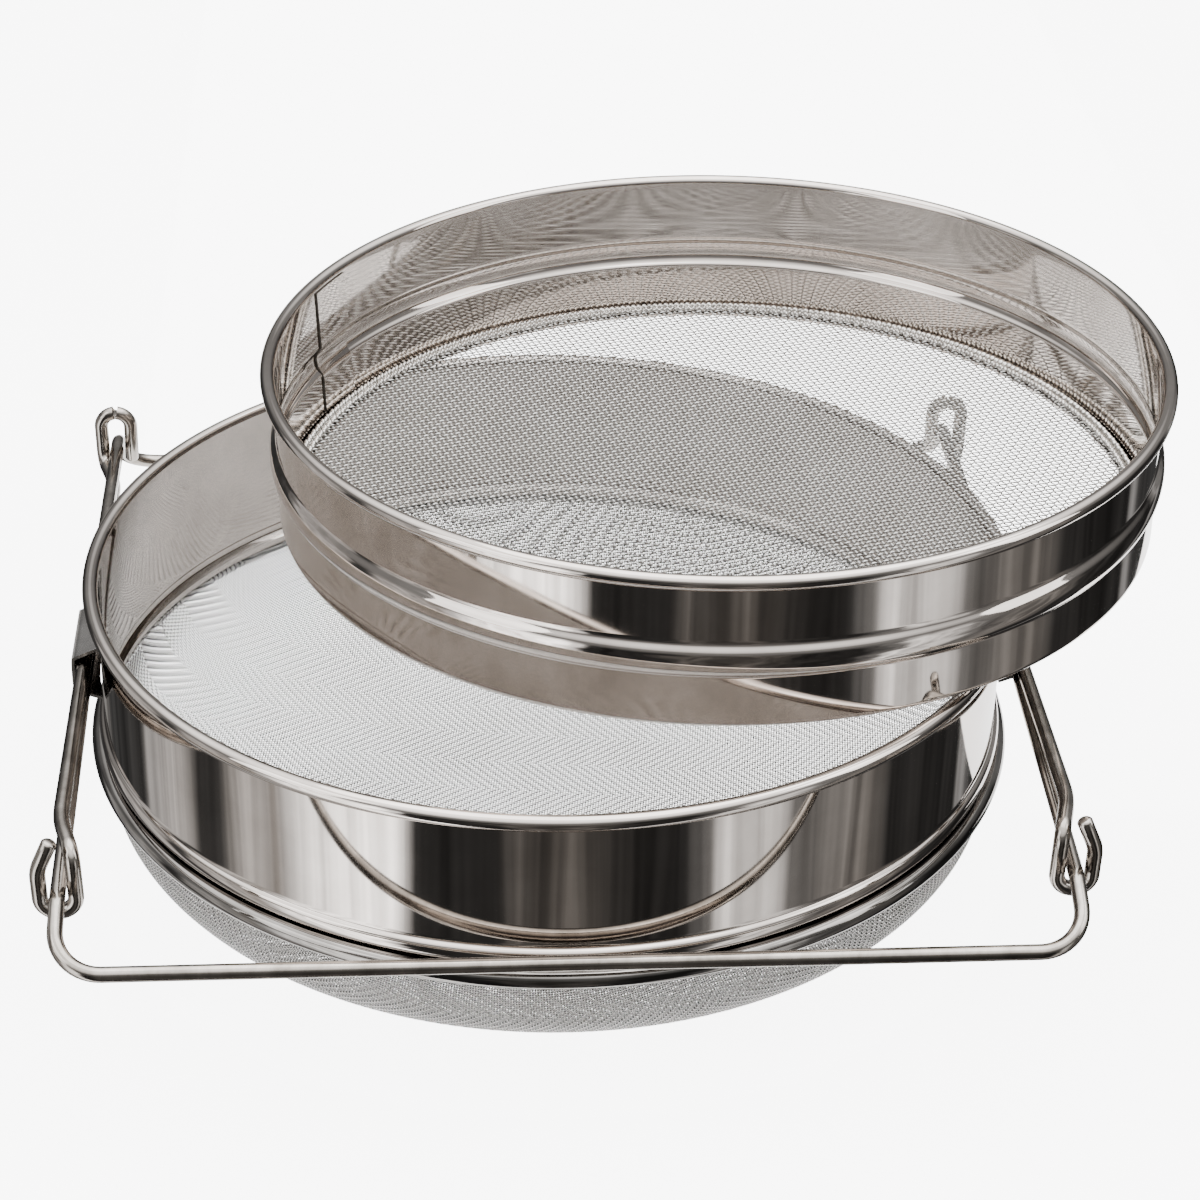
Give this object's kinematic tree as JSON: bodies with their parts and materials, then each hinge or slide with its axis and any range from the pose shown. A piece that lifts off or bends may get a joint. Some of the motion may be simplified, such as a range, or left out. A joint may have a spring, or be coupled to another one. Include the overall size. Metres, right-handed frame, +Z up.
{
  "type": "double sieve strainer",
  "caption": "Two stacked round steel sieves, a deep fine one and a shallow coarse one, with sliding wire bails that carry them across a pail.",
  "frame": {"origin": "centre of the flat underside of the fine sieve's woven bowl", "axes": "+Z up along the fine sieve's axis, -Y towards the front bail's crossbar, +Y towards the rear bail's crossbar"},
  "size_m": [0.289, 0.2731, 0.1284],
  "materials": {
    "lower_wall": "polished stainless sheet",
    "lower_rim_wire": "plain steel wire",
    "lower_clamp_ring": "satin rolled ring",
    "fine_mesh_bowl": "fine woven wire cloth",
    "left_arm_clip": "polished pressed sheet",
    "right_arm_clip": "polished pressed sheet",
    "upper_wall": "polished stainless sheet",
    "upper_rim_wire": "plain steel wire",
    "coarse_mesh": "coarse woven wire cloth",
    "coarse_mesh_ring": "satin flat ring",
    "front_bail": "polished round wire",
    "rear_bail": "polished round wire"
  },
  "bodies": {
    "lower_sieve": {"lower_wall": "lower_wall", "lower_rim_wire": "lower_rim_wire", "lower_clamp_ring": "lower_clamp_ring", "fine_mesh_bowl": "fine_mesh_bowl", "left_arm_clip": "left_arm_clip", "right_arm_clip": "right_arm_clip"},
    "upper_sieve": {"upper_wall": "upper_wall", "upper_rim_wire": "upper_rim_wire", "coarse_mesh": "coarse_mesh", "coarse_mesh_ring": "coarse_mesh_ring"},
    "front_bail": {"front_bail": "front_bail"},
    "rear_bail": {"rear_bail": "rear_bail"}
  },
  "joints": [
    {"name": "upper_sieve_lift", "type": "slide", "parent": "lower_sieve", "child": "upper_sieve", "axis": [0, 0, 1], "range_m": [0, 0.15]},
    {"name": "front_bail_slide", "type": "slide", "parent": "lower_sieve", "child": "front_bail", "axis": [0, -1, 0], "range_m": [0, 0.068]},
    {"name": "rear_bail_slide", "type": "slide", "parent": "lower_sieve", "child": "rear_bail", "axis": [0, 1, 0], "range_m": [0, 0.067]}
  ]
}
